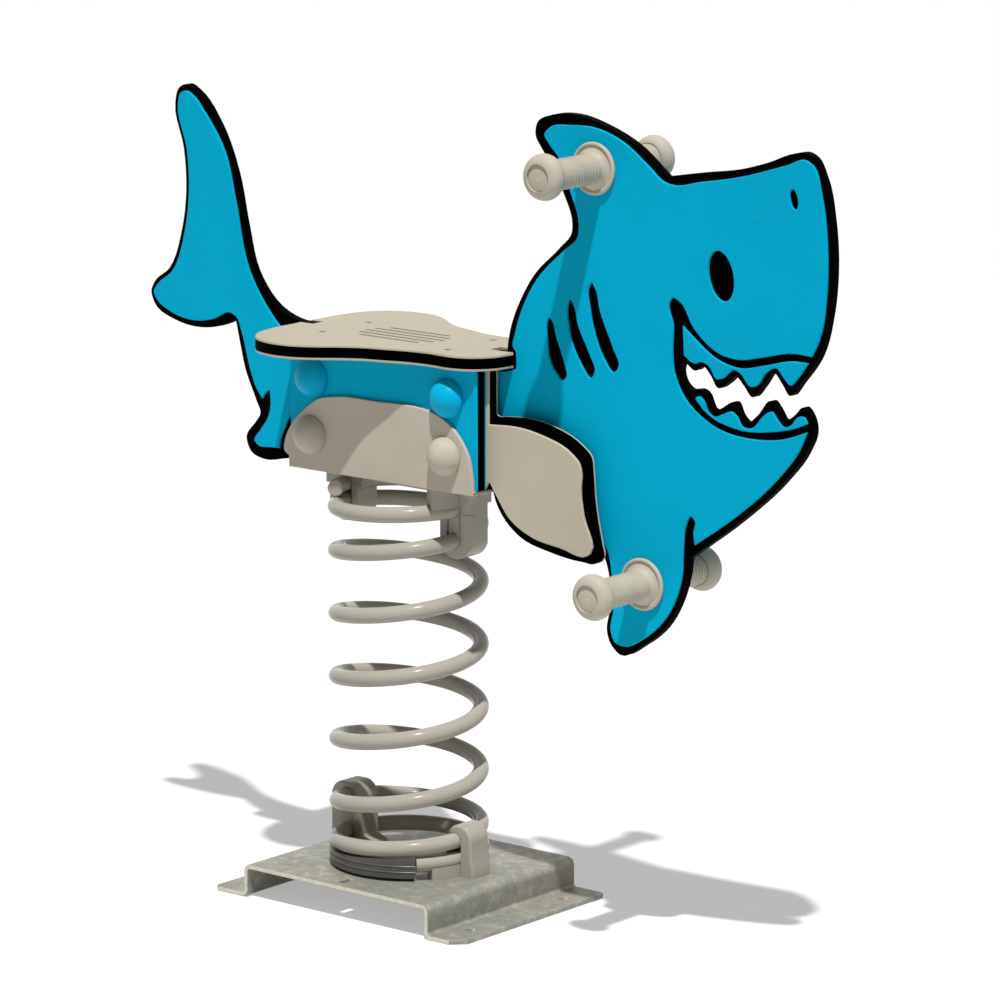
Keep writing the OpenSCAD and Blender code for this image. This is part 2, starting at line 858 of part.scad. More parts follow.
// Side panels: three layers, and the seat is screwed into their upper edges
screw_x = 101 * k;
screw_y = (side_inner + side_outer) / 2;
screw_shank = screw_head / 2;
screw_grip = 24;
screw_length = sheet + screw_grip;
module side_layer() {
  difference() {
    polygon(outline(side_edge));
    bolt_holes();
  }
}
module side_core_right() {
  color(black)
    on_saddle()
      difference() {
        upright(-side_outer + skin, -side_inner - skin)
          side_layer();
        at_screws()
          translate([0, 0, seat_over - screw_length - past])
            cylinder(d = screw_shank + bolt_play, h = screw_length);
      }
}
module side_face_right() {
  color(blue)
    on_saddle()
      upright(-side_outer, -side_outer + skin)
        side_layer();
}
module side_back_right() {
  color(blue)
    on_saddle()
      upright(-side_inner - skin, -side_inner)
        side_layer();
}
module side_core_left() {
  left()
    side_core_right();
}
module side_face_left() {
  left()
    side_face_right();
}
module side_back_left() {
  left()
    side_back_right();
}

// Spacers on the through bolts between the shark panel and the fin panels
spacer_width = panel_bolt * 2.2;
module panel_spacers() {
  color(steel)
    on_saddle()
      for (side = [0, 1])
        mirror([0, side, 0])
          upright(half_sheet, fin_inner)
            difference() {
              at_bolts([lower_bolt_z, upper_bolt_z])
                circle(d = spacer_width);
              bolt_holes();
            }
}

// Through bolts with washers and nuts, under the bolt caps
washer = 2;
washer_width = panel_bolt * 2;
nut = panel_bolt * 0.58;
nut_width = panel_bolt * 1.8;
thread_past_nut = 1.5;
module through_bolt(face) {
  upright(-face - washer - nut, face + washer + nut + thread_past_nut)
    circle(d = panel_bolt);
  upright(-face - washer - nut, -face - washer)
    circle(d = nut_width, $fn = 6);
}
module bolt_row(height) {
  for (x = [-bolt_x, bolt_x])
    translate([x, 0, height])
      children();
}
module upper_bolts() {
  color(steel)
    on_saddle()
      bolt_row(upper_bolt_z)
        through_bolt(side_outer);
}
module lower_bolts() {
  color(steel)
    on_saddle()
      bolt_row(lower_bolt_z)
        through_bolt(cheek_outer);
}
module washer_pair(face) {
  for (side = [0, 1])
    mirror([0, side, 0])
      upright(face, face + washer)
        difference() {
          circle(d = washer_width);
          circle(d = panel_bolt + bolt_play);
        }
}
module bolt_washers() {
  color(steel)
    on_saddle() {
      bolt_row(upper_bolt_z)
        washer_pair(side_outer);
      bolt_row(lower_bolt_z)
        washer_pair(cheek_outer);
    }
}
module bolt_nut(face) {
  upright(face + washer, face + washer + nut)
    difference() {
      circle(d = nut_width, $fn = 6);
      circle(d = panel_bolt + bolt_play);
    }
}
module bolt_nuts() {
  color(steel)
    on_saddle() {
      bolt_row(upper_bolt_z)
        bolt_nut(side_outer);
      bolt_row(lower_bolt_z)
        bolt_nut(cheek_outer);
    }
}

// Bolt caps: a ring on the panel and a domed lid that snaps on it
cap_ring = 4.5;
cap_dome = 17;
cap_wall = 2.5;
cap_step = 0.5;
dome_radius = cap_diameter / 2 - cap_step;
dome_ball = (dome_radius * dome_radius + cap_dome * cap_dome) / (2 * cap_dome);
module cap_rings(face, height) {
  on_saddle()
    bolt_row(height)
      for (side = [0, 1])
        mirror([0, side, 0])
          upright(face, face + cap_ring)
            difference() {
              circle(d = cap_diameter);
              circle(d = washer_width + bolt_play * 2);
            }
}
// Half section of the domed lid, turned around its axis
module dome_section() {
  intersection() {
    translate([0, cap_dome - dome_ball])
      difference() {
        circle(dome_ball, $fn = 96);
        circle(dome_ball - cap_wall, $fn = 96);
      }
    square([dome_radius, cap_dome]);
  }
}
module cap_domes(face, height) {
  on_saddle()
    bolt_row(height)
      for (side = [0, 1])
        mirror([0, side, 0])
          translate([0, face + cap_ring, 0])
            rotate([-90, 0, 0])
              rotate_extrude()
                dome_section();
}
module blue_cap_rings() {
  color(blue)
    cap_rings(side_outer, upper_bolt_z);
}
module blue_cap_domes() {
  color(blue)
    cap_domes(side_outer, upper_bolt_z);
}
module grey_cap_rings() {
  color(stone)
    cap_rings(cheek_outer, lower_bolt_z);
}
module grey_cap_domes() {
  color(stone)
    cap_domes(cheek_outer, lower_bolt_z);
}

// Seat: three flush layers with a slot at each end for the shark panel
seat_slot_play = 1;
seat_slot = sheet + seat_slot_play;
front_slot = 140;
rear_slot = -147;
function widened(p) = len(p) == 3
  ? [p[0], p[1] * seat_width / drawn_seat_width / k, 0]
  : [p[0], p[1] * seat_width / drawn_seat_width / k];
function other_side(p) = len(p) == 3 ? [p[0], -p[1], 0] : [p[0], -p[1]];
seat_right = [for (p = seat_half) widened(p)];
seat_left = [for (i = [len(seat_half) - 1 : -1 : 0]) other_side(seat_right[i])];
module at_screws() {
  for (x = [-screw_x, screw_x], y = [-screw_y, screw_y])
    translate([x, y])
      children();
}
module seat_layer(low, high) {
  on_saddle()
    translate([0, 0, low])
      linear_extrude(high - low)
        difference() {
          polygon(outline(concat(seat_right, seat_left)));
          translate([front_slot * k, -seat_slot / 2])
            square([seat_width, seat_slot]);
          translate([rear_slot * k - seat_width, -seat_slot / 2])
            square([seat_width, seat_slot]);
          at_screws()
            circle(d = screw_shank + bolt_play);
        }
}
// Cones that the countersunk screw heads take out of the seat
screw_sink = screw_shank / 2;
module screw_sinks() {
  on_saddle()
    at_screws()
      translate([0, 0, seat_over - screw_sink])
        cylinder(d1 = screw_shank + bolt_play, d2 = screw_head + bolt_play * 2, h = screw_sink + sink_under);
}
// Routed lines where the rider sits, each as long as an oval is wide there
line_pitch = 15;
lines_each_side = 2;
oval_half_length = 62;
oval_half_width = 45;
oval_x = -5;
module grip_lines() {
  on_saddle()
    for (i = [-lines_each_side : lines_each_side])
      let(half = oval_half_length * sqrt(1 - pow(i * line_pitch / oval_half_width, 2)))
      translate([oval_x * k, i * line_pitch, seat_over - skin - past])
        linear_extrude(skin + past * 2) {
          square([half * 2, grip_line], center = true);
          for (end = [-half, half])
            translate([end, 0])
              circle(d = grip_line);
        }
}
module seat_core() {
  color(black)
    seat_layer(seat_under + skin, seat_over - skin);
}
module seat_top() {
  color(stone)
    difference() {
      seat_layer(seat_over - skin, seat_over);
      screw_sinks();
      grip_lines();
    }
}
module seat_bottom() {
  color(stone)
    seat_layer(seat_under, seat_under + skin);
}
module seat_screws() {
  color(steel)
    on_saddle()
      at_screws()
        translate([0, 0, seat_over - screw_length]) {
          cylinder(d = screw_shank, h = screw_length - screw_sink);
          translate([0, 0, screw_length - screw_sink - sink_under])
            cylinder(d1 = screw_shank, d2 = screw_head, h = screw_sink);
        }
}

// Grips: a flange with a bead around its edge, a grooved neck and a round knob, held on a rod
flange_thick = 3.5;
bead = 5.5;
flare = 12;
flare_lap = 1;
knob_round = 13;
neck = grip_diameter / 2;
groove = 2.5;
groove_pitch = 5.44;
grooves_from = 17.7;
// Plug in the end of a grip: its recess, its crown, and how far it lies under the end
plug = grip_knob * 0.57;
plug_depth = 4;
plug_play = 0.5;
plug_crown = 1.5;
plug_under = 1.2;
rod_under = 2;
module grip_section() {
  bore = (rod + bolt_play) / 2;
  knob_at = grip_reach - half_sheet - knob_round;
  grooves = round((knob_at - knob_round - grooves_from) / groove_pitch);
  bead_at = (grip_flange - bead) / 2;
  difference() {
    union() {
      translate([bore, 0])
        square([neck - bore, knob_at]);
      translate([bore, 0])
        square([bead_at - bore, flange_thick]);
      translate([bead_at, bead / 2])
        circle(d = bead);
      translate([neck - flare_lap, flange_thick])
        flare_section();
      translate([grip_knob / 2 - knob_round, knob_at])
        circle(knob_round);
      translate([bore, knob_at - knob_round])
        square([grip_knob / 2 - knob_round - bore, knob_round * 2]);
    }
    for (i = [0 : grooves])
      translate([neck, grooves_from + i * groove_pitch])
        circle(d = groove, $fn = 16);
    translate([0, grip_reach - half_sheet - plug_depth])
      square([plug / 2 + plug_play, plug_depth + past]);
    translate([-past, -past])
      square([bore + past, grip_reach + past * 2]);
  }
}
// Hollow curve between the neck and the flange
module flare_section() {
  difference() {
    square(flare);
    translate([flare, flare])
      circle(flare);
  }
}
module grip(place) {
  on_saddle()
    translate([place[0], -half_sheet, place[1]])
      rotate([90, 0, 0])
        rotate_extrude()
          grip_section();
}
module grip_rod(place) {
  reach = grip_reach - plug_depth - rod_under;
  color(steel)
    on_saddle()
      translate([place[0], 0, place[1]])
        upright(-reach, reach)
          circle(d = rod);
}
// Plugs that close the ends of two grips, with a low crown
module grip_plugs(place) {
  ball = (plug * plug / 4 + plug_crown * plug_crown) / (2 * plug_crown);
  color(stone)
    on_saddle()
      for (side = [0, 1])
        mirror([0, side, 0])
          translate([place[0], grip_reach - plug_depth, place[1]])
            rotate([-90, 0, 0])
              rotate_extrude()
                intersection() {
                  translate([0, plug_depth - plug_under - ball])
                    circle(ball, $fn = 200);
                  square([plug / 2, plug_depth]);
                }
}
module hand_rod() {
  grip_rod(hand_place);
}
module hand_grip_right() {
  color(stone)
    grip(hand_place);
}
module hand_grip_left() {
  left()
    hand_grip_right();
}
module hand_grip_plugs() {
  grip_plugs(hand_place);
}
module foot_rod() {
  grip_rod(foot_place);
}
module foot_grip_right() {
  color(stone)
    grip(foot_place);
}
module foot_grip_left() {
  left()
    foot_grip_right();
}
module foot_grip_plugs() {
  grip_plugs(foot_place);
}

base_plate();
gap_filler();
foot_cradle_front();
foot_cradle_rear();
foot_spacer_rear();
foot_arch_front();
foot_arch_rear();
foot_bolts();
spring();
hanger_hook_front();
hanger_hook_rear();
hanger_spacer_front();
hanger_block_front();
hanger_block_rear();
hanger_bar();
hanger_bolts();
saddle();
body_core();
body_skin_right();
body_skin_left();
fin_core_right();
fin_face_right();
fin_back_right();
fin_core_left();
fin_face_left();
fin_back_left();
side_core_right();
side_face_right();
side_back_right();
side_core_left();
side_face_left();
side_back_left();
panel_spacers();
upper_bolts();
lower_bolts();
bolt_washers();
bolt_nuts();
blue_cap_rings();
blue_cap_domes();
grey_cap_rings();
grey_cap_domes();
seat_core();
seat_top();
seat_bottom();
seat_screws();
hand_rod();
hand_grip_right();
hand_grip_left();
hand_grip_plugs();
foot_rod();
foot_grip_right();
foot_grip_left();
foot_grip_plugs();
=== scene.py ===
import math

import bpy
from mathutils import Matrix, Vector


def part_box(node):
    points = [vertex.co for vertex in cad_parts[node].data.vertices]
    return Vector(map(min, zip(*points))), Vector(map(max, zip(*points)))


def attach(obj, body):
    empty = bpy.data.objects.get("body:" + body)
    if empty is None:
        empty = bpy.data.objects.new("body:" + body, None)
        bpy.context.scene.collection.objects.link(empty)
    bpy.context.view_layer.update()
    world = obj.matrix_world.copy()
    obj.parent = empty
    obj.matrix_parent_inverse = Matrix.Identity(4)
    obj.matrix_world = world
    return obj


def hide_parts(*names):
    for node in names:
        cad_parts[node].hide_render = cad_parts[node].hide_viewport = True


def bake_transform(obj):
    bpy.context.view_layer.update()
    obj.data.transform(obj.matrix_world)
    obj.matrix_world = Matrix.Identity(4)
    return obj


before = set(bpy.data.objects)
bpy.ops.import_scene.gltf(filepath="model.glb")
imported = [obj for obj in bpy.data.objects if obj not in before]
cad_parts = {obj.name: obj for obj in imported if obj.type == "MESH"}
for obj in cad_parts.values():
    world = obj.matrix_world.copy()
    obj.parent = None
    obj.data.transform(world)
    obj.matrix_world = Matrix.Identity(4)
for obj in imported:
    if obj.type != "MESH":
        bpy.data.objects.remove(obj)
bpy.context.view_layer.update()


# Base plate: 6 mm steel sheet, cut, bent to a hat section and hot-dip galvanised after bending.
# Four anchor bolts hold its flanges to the ground, and it carries the lower clamps of the spring.

PLATE_EDGE = 0.0012
# Faces that look this much along Y are the sheared ends of the sheet
SHEARED = 0.9
# Edges over the first angle are sharp, and faces that differ by less than the second are one flat face
SHARP_EDGE = math.radians(32)
FLAT_FACE = math.radians(0.4)
# Points nearer to each other than the first are one point, and nearer to a level than the second are on it
SAME_POINT = 0.00001
ON_LEVEL = 0.0001


def linear(code):
    """Linear colour, with alpha, of an sRGB hex code."""
    parts = [int(code[i:i + 2], 16) / 255 for i in (1, 3, 5)]
    return [c / 12.92 if c <= 0.04045 else ((c + 0.055) / 1.055) ** 2.4 for c in parts] + [1]


def add(tree, kind, values=None, links=None, stops=None, **settings):
    """Adds a node with its settings, socket values, incoming links and ramp stops."""
    node = tree.nodes.new("ShaderNode" + kind)
    for name, value in settings.items():
        setattr(node, name, value)
    for socket, value in (values or {}).items():
        node.inputs[socket].default_value = value
    for socket, source in (links or {}).items():
        tree.links.new(source, node.inputs[socket])
    if stops:
        ramp = node.color_ramp.elements
        while len(ramp) < len(stops):
            ramp.new(0.5)
        for stop, (place, code) in zip(ramp, stops):
            stop.position = place
            stop.color = linear(code)
    return node


def new_material(name, **sockets):
    """A material with the numbers that are the same all over it, and its node tree and shader."""
    material = bpy.data.materials.new(name)
    material.use_nodes = True
    shader = material.node_tree.nodes["Principled BSDF"]
    for socket, value in sockets.items():
        shader.inputs[socket.replace("_", " ")].default_value = value
    return material, material.node_tree, shader


def edit_selected(piece):
    """Makes a piece the only selected one and opens it with nothing in it selected."""
    bpy.ops.object.select_all(action="DESELECT")
    piece.select_set(True)
    bpy.context.view_layer.objects.active = piece
    bpy.ops.object.mode_set(mode="EDIT")
    bpy.ops.mesh.select_mode(type="EDGE")
    bpy.ops.mesh.select_all(action="DESELECT")


def apply_modifier(piece, kind, **settings):
    bpy.context.view_layer.objects.active = piece
    modifier = piece.modifiers.new(kind.lower(), kind)
    for name, value in settings.items():
        setattr(modifier, name, value)
    bpy.ops.object.modifier_apply(modifier=modifier.name)


def select_only(mesh, picked):
    """Selects the edges that a list of true and false values picks, and nothing else."""
    mesh.vertices.foreach_set("select", [False] * len(mesh.vertices))
    mesh.polygons.foreach_set("select", [False] * len(mesh.polygons))
    mesh.edges.foreach_set("select", picked)


def rounded_copy(node, name, radius, chosen=None, segments=3):
    """Copy of a CAD node, with the sharp edges that chosen(a, b) picks rounded as real edges are.
    The round faces take the piece's second material."""
    piece = bpy.data.objects.new(name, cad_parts[node].data.copy())
    bpy.context.scene.collection.objects.link(piece)
    piece.data.materials.clear()
    edit_selected(piece)
    bpy.ops.mesh.customdata_custom_splitnormals_clear()
    bpy.ops.mesh.select_all(action="SELECT")
    bpy.ops.mesh.remove_doubles(threshold=SAME_POINT)
    bpy.ops.mesh.dissolve_limited(angle_limit=FLAT_FACE)
    bpy.ops.mesh.select_all(action="DESELECT")
    bpy.ops.mesh.edges_select_sharp(sharpness=SHARP_EDGE)
    bpy.ops.object.mode_set(mode="OBJECT")
    if chosen:
        mesh = piece.data
        picked = [e.select and chosen(*(mesh.vertices[i].co for i in e.vertices)) for e in mesh.edges]
        select_only(mesh, picked)
    bpy.ops.object.mode_set(mode="EDIT")
    bpy.ops.mesh.bevel(
        offset=radius, segments=segments, affect="EDGES", clamp_overlap=False, loop_slide=False, material=1
    )
    bpy.ops.mesh.select_all(action="SELECT")
    bpy.ops.mesh.remove_doubles(threshold=SAME_POINT)
    bpy.ops.object.mode_set(mode="OBJECT")
    bpy.ops.object.shade_smooth_by_angle(angle=SHARP_EDGE)
    apply_modifier(piece, "WEIGHTED_NORMAL", keep_sharp=True)
    return piece


def settle(piece, body, slot, node, *materials):
    """Gives a new piece its materials and body, and has it stand for a CAD node. The slot argument is not
    used.
    """
    for material in materials:
        piece.data.materials.append(material)
    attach(piece, body)
    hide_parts(node)


# Hot-dip galvanised steel: a dull grey zinc skin that froze in pale flecks about 15 mm wide,
# with cloudy, slightly green patches of about 60 mm and a grain of about 3 mm.
zinc, tree, shader = new_material("hot_dip_galvanised_steel", Metallic=0.25)
place = add(tree, "TexCoord")
flecks = add(
    tree, "TexNoise", {"Scale": 1 / 0.015, "Detail": 4, "Roughness": 0.6, "Distortion": 0.3},
    {"Vector": place.outputs["Object"]},
)
patches = add(
    tree, "TexNoise", {"Scale": 1 / 0.06, "Detail": 2, "Distortion": 0.4}, {"Vector": place.outputs["Object"]}
)
grain = add(tree, "TexNoise", {"Scale": 1 / 0.003, "Detail": 2}, {"Vector": place.outputs["Object"]})
pale = add(
    tree, "ValToRGB", links={"Fac": flecks.outputs["Fac"]},
    stops=[(0.34, "#93918A"), (0.52, "#9B988F"), (0.66, "#B2ADA3")],
)
green = add(
    tree, "ValToRGB", links={"Fac": patches.outputs["Fac"]}, stops=[(0.42, "#FFFBF6"), (0.62, "#EAF3EF")]
)
speckle = add(
    tree, "ValToRGB", links={"Fac": grain.outputs["Fac"]}, stops=[(0.3, "#E2E1DE"), (0.6, "#FFFFFF")]
)
tinted = add(
    tree, "Mix", {0: 1.0}, {6: pale.outputs["Color"], 7: green.outputs["Color"]},
    data_type="RGBA", blend_type="MULTIPLY",
)
speckled = add(
    tree, "Mix", {0: 0.7}, {6: tinted.outputs[2], 7: speckle.outputs["Color"]},
    data_type="RGBA", blend_type="MULTIPLY",
)
gloss = add(
    tree, "MapRange", {"From Min": 0.3, "From Max": 0.7, "To Min": 0.62, "To Max": 0.48},
    {"Value": flecks.outputs["Fac"]},
)
dents = add(tree, "Bump", {"Strength": 0.25, "Distance": 0.0004}, {"Height": grain.outputs["Fac"]})
tree.links.new(speckled.outputs[2], shader.inputs["Base Color"])
tree.links.new(gloss.outputs["Result"], shader.inputs["Roughness"])
tree.links.new(dents.outputs["Normal"], shader.inputs["Normal"])

# Zinc on the sheared edges: duller, and a warm pale grey that is paler than the top, with runs of a few
# millimetres.
zinc_edge, tree, shader = new_material("galvanised_sheared_edge", Metallic=0.2, Roughness=0.55)
place = add(tree, "TexCoord")
runs = add(tree, "TexNoise", {"Scale": 1 / 0.006, "Detail": 3}, {"Vector": place.outputs["Object"]})
tone = add(
    tree, "ValToRGB", links={"Fac": runs.outputs["Fac"]}, stops=[(0.3, "#C4BFAC"), (0.7, "#D6D1BE")]
)
lumps = add(tree, "Bump", {"Strength": 0.3, "Distance": 0.0004}, {"Height": runs.outputs["Fac"]})
tree.links.new(tone.outputs["Color"], shader.inputs["Base Color"])
tree.links.new(lumps.outputs["Normal"], shader.inputs["Normal"])

plate = rounded_copy("base_plate", "galvanised_base_plate", PLATE_EDGE)
for face in plate.data.polygons:
    if abs(face.normal.y) > SHEARED:
        face.material_index = 1
settle(plate, "base", "zinc", "base_plate", zinc, zinc_edge)


# Filler: a moulded rubber wedge that closes the finger gap under the first free turn.
# It lies loose between the wire and the plate, and the wire's weight holds it.

# Moulded rubber: dark grey with a dull sheen and a fine mould grain of about 1 mm. The dark grey is partly
# painted shade: it is darkened to the shade that falls under the first free turn.
rubber, tree, shader = new_material("moulded_rubber_painted_shade", IOR=1.52, Specular_IOR_Level=0.25)
place = add(tree, "TexCoord")
mould = add(tree, "TexNoise", {"Scale": 1 / 0.001, "Detail": 2}, {"Vector": place.outputs["Object"]})
dust = add(tree, "TexNoise", {"Scale": 1 / 0.03, "Detail": 4}, {"Vector": place.outputs["Object"]})
tone = add(
    tree, "ValToRGB", links={"Fac": dust.outputs["Fac"]}, stops=[(0.35, "#4D4C48"), (0.7, "#5B5954")]
)
sheen = add(
    tree, "MapRange", {"From Min": 0.3, "From Max": 0.7, "To Min": 0.3, "To Max": 0.42},
    {"Value": dust.outputs["Fac"]},
)
pits = add(tree, "Bump", {"Strength": 0.12, "Distance": 0.0003}, {"Height": mould.outputs["Fac"]})
tree.links.new(tone.outputs["Color"], shader.inputs["Base Color"])
tree.links.new(sheen.outputs["Result"], shader.inputs["Roughness"])
tree.links.new(pits.outputs["Normal"], shader.inputs["Normal"])


def paint_nodes(material, *names):
    """Gives CAD nodes that keep their shape a better material."""
    for name in names:
        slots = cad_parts[name].data.materials
        slots.clear()
        slots.append(material)


paint_nodes(rubber, "gap_filler")


# Lower clamps: cast steel, powder coated. Cradles lie under the wire, arches go over it,
# and each arch is bolted to the base plate from below.

CAST_EDGE = 0.0035
COIL_RADIUS = 0.09
# Half the width of the room that the wire and the thin wall beside it take
BED_HALF = 0.0145
# Half the width of the strip in the middle of a clamp where its bolt holes are
BOLT_ROOM = 0.0075
# Height of the wall of an arch above its bed, and of the rim of its foot, which stays sharp
ARCH_WALL = 0.0055
FOOT_RIM = 0.001


def clear_edges(low, high, floor):
    """Picks the edges of a clamp that are above a floor, clear of the bolts, and clear of the wire
    where it passes between two heights."""
    def clear(v):
        in_bed = abs(math.hypot(v.x, v.y) - COIL_RADIUS) < BED_HALF and low < v.z < high
        return abs(v.y) > BOLT_ROOM and not in_bed

    def chosen(a, b):
        return max(a.z, b.z) > floor and clear(a) and clear(b)
    return chosen


def coat_material(name, dark, light):
    """Polyester powder coat: smooth and glossy, with a faint orange peel of about 3 mm, slow changes of tone,
    and dull spots where hands, shoes and weather have worn the gloss."""
    material, tree, shader = new_material(name, IOR=1.5, Specular_IOR_Level=0.1)
    place = add(tree, "TexCoord")
    slow = add(tree, "TexNoise", {"Scale": 1 / 0.11, "Detail": 4}, {"Vector": place.outputs["Object"]})
    scuff = add(
        tree, "TexNoise", {"Scale": 1 / 0.018, "Detail": 6, "Roughness": 0.7},
        {"Vector": place.outputs["Object"]},
    )
    peel = add(tree, "TexNoise", {"Scale": 1 / 0.003, "Detail": 1}, {"Vector": place.outputs["Object"]})
    tone = add(
        tree, "ValToRGB", links={"Fac": slow.outputs["Fac"]}, stops=[(0.3, dark), (0.7, light)]
    )
    worn = add(
        tree, "MapRange", {"From Min": 0.5, "From Max": 0.75, "To Min": 0.17, "To Max": 0.26},
        {"Value": scuff.outputs["Fac"]},
    )
    skin = add(tree, "Bump", {"Strength": 0.05, "Distance": 0.0004}, {"Height": peel.outputs["Fac"]})
    tree.links.new(tone.outputs["Color"], shader.inputs["Base Color"])
    tree.links.new(worn.outputs["Result"], shader.inputs["Roughness"])
    tree.links.new(skin.outputs["Normal"], shader.inputs["Normal"])
    return material


grey_coat = coat_material("polyester_powder_coat_grey", "#A39E92", "#ABA69A")

for node in ("foot_arch_front", "foot_arch_rear"):
    low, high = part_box(node)
    clear = clear_edges(0, high.z - ARCH_WALL, low.z + FOOT_RIM)
    arch = rounded_copy(node, "cast_" + node, CAST_EDGE, clear, segments=4)
    settle(arch, "base", "powder_coat", node, grey_coat, grey_coat)
paint_nodes(grey_coat, "foot_cradle_front", "foot_cradle_rear", "foot_spacer_rear")

# Zinc-plated steel of the bolts: bright, slightly yellow-blue, with fine turning lines about 1 mm apart.
plated_steel, tree, shader = new_material("zinc_plated_steel", Metallic=1.0)
place = add(tree, "TexCoord")
turning = add(
    tree, "TexNoise", {"Scale": 1 / 0.001, "Detail": 2}, {"Vector": place.outputs["Object"]}
)
bloom = add(tree, "TexNoise", {"Scale": 1 / 0.012, "Detail": 3}, {"Vector": place.outputs["Object"]})
tone = add(
    tree, "ValToRGB", links={"Fac": bloom.outputs["Fac"]}, stops=[(0.35, "#A6A9AB"), (0.65, "#C0C0BA")]
)
dull = add(
    tree, "MapRange", {"From Min": 0.3, "From Max": 0.7, "To Min": 0.28, "To Max": 0.45},
    {"Value": bloom.outputs["Fac"]},
)
lines = add(tree, "Bump", {"Strength": 0.1, "Distance": 0.0002}, {"Height": turning.outputs["Fac"]})
tree.links.new(tone.outputs["Color"], shader.inputs["Base Color"])
tree.links.new(dull.outputs["Result"], shader.inputs["Roughness"])
tree.links.new(lines.outputs["Normal"], shader.inputs["Normal"])
paint_nodes(plated_steel, "foot_bolts")


# Spring: one 20 mm steel wire, wound hot, cut square at both ends and powder coated.
# Its lowest turns lie in the lower clamps and its top turns in the upper ones. The turns between bend freely.

WIRE = 0.02
TURNS = 7.73
START_ANGLE = math.radians(-44.5)
SPLIT_TURN = 4.2
RINGS_PER_TURN = 96
TUBE_SIDES = 20
# Round of the edge of a cut face, and the least angle of that edge
CUT_EDGE = 0.0008
CUT_ANGLE = math.radians(60)
# Start height and rise per turn of the wire, and each passage to another rise: first turn, length, change
WIRE_START = 0.063
REST_RISE = 0.0112
RISE_CHANGES = ((0.51, 0.3, 0.0288), (1.29, 0.42, 0.04), (5.48, 1.8, -0.0614))


def eased(u):
    """Turns climbed while one rise per turn passes smoothly into another."""
    if u < 0:
        return 0
    return u ** 3 - u ** 4 / 2 if u < 1 else u - 0.5


def wire_point(turn):
    height = WIRE_START + REST_RISE * turn
    for first, length, change in RISE_CHANGES:
        height += change * length * eased((turn - first) / length)
    angle = START_ANGLE + math.tau * turn
    return COIL_RADIUS * math.cos(angle), COIL_RADIUS * math.sin(angle), height


def wire_tube(name, first, last):
    """Round wire along the coil from one turn number to another, with a cut face at each end."""
    bpy.ops.object.select_all(action="DESELECT")
    bpy.ops.curve.primitive_nurbs_path_add()
    tube = bpy.context.object
    tube.name = name
    line = tube.data
    line.splines.clear()
    count = round((last - first) * RINGS_PER_TURN)
    path = line.splines.new("POLY")
    path.points.add(count)
    for i, point in enumerate(path.points):
        point.co = (*wire_point(first + (last - first) * i / count), 1)
    line.twist_mode = "Z_UP"
    line.bevel_depth = WIRE / 2
    line.bevel_resolution = TUBE_SIDES // 2 - 2
    line.use_fill_caps = True
    bpy.ops.object.convert(target="MESH")
    edit_selected(tube)
    bpy.ops.mesh.select_all(action="SELECT")
    bpy.ops.mesh.remove_doubles(threshold=SAME_POINT)
    bpy.ops.mesh.normals_make_consistent(inside=False)
    bpy.ops.object.mode_set(mode="OBJECT")
    bpy.ops.object.shade_smooth_by_angle(angle=SHARP_EDGE)
    return tube


def soften_cut(tube, turn):
    """Breaks the sharp edge of the cut face at one end of the wire."""
    centre = Vector(wire_point(turn))
    edit_selected(tube)
    bpy.ops.mesh.edges_select_sharp(sharpness=CUT_ANGLE)
    bpy.ops.object.mode_set(mode="OBJECT")
    mesh = tube.data
    picked = [
        e.select and all((mesh.vertices[i].co - centre).length < WIRE for i in e.vertices) for e in mesh.edges
    ]
    select_only(mesh, picked)
    bpy.ops.object.mode_set(mode="EDIT")
    bpy.ops.mesh.bevel(offset=CUT_EDGE, segments=2, affect="EDGES", clamp_overlap=False)
    bpy.ops.object.mode_set(mode="OBJECT")
    bpy.ops.object.shade_smooth_by_angle(angle=SHARP_EDGE)


lower_wire = wire_tube("spring_wire_lower", 0, SPLIT_TURN)
soften_cut(lower_wire, 0)
upper_wire = wire_tube("spring_wire_upper", SPLIT_TURN, TURNS)
soften_cut(upper_wire, TURNS)
for wire in (lower_wire, upper_wire):
    wire.data.materials.clear()
    wire.data.materials.append(grey_coat)
    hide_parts("spring")
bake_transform(lower_wire)
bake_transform(upper_wire)


# Upper clamps: cast hooks around the wire and blocks under the saddle, powder coated.
# Countersunk bolts through the saddle floor draw each hook up to its block.

HOOK_EDGE = 0.0015
BAR_EDGE = 0.0012
CLAMP_HALF = 0.018
# Height of the solid metal under the bed of a hook
HOOK_FLOOR = 0.01


def hook_edges(low, high):
    """Picks the edges of a hook on its side faces and around its top, clear of the bolts and the wire."""
    clear = clear_edges(low + HOOK_FLOOR, math.inf, 0)

    def chosen(a, b):
        on_side = all(abs(abs(v.y) - CLAMP_HALF) < ON_LEVEL for v in (a, b))
        on_top = all(abs(v.z - high) < ON_LEVEL for v in (a, b))
        return (on_side or on_top) and clear(a, b)
    return chosen


for end in ("front", "rear"):
    node = "hanger_hook_" + end
    low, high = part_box(node)
    hook = rounded_copy(node, "cast_hook_" + end, HOOK_EDGE, hook_edges(low.z, high.z))
    settle(hook, "rider", "powder_coat", node, grey_coat, grey_coat)
bar = rounded_copy("hanger_bar", "coated_bar", BAR_EDGE)
settle(bar, "rider", "powder_coat", "hanger_bar", grey_coat, grey_coat)
paint_nodes(grey_coat, "hanger_block_front", "hanger_block_rear", "hanger_spacer_front")
paint_nodes(plated_steel, "hanger_bolts")


# Saddle: 5 mm steel sheet bent to a channel, powder coated, with a round-topped cheek on each side.
# The through bolts of the lower row clamp the panels between its cheeks.

SADDLE_EDGE = 0.0012
# Half the width of the strip of the saddle floor where its countersunk holes are
HOLE_STRIP = 0.015


def clear_of_holes(a, b):
    return min(abs(a.y), abs(b.y)) > HOLE_STRIP


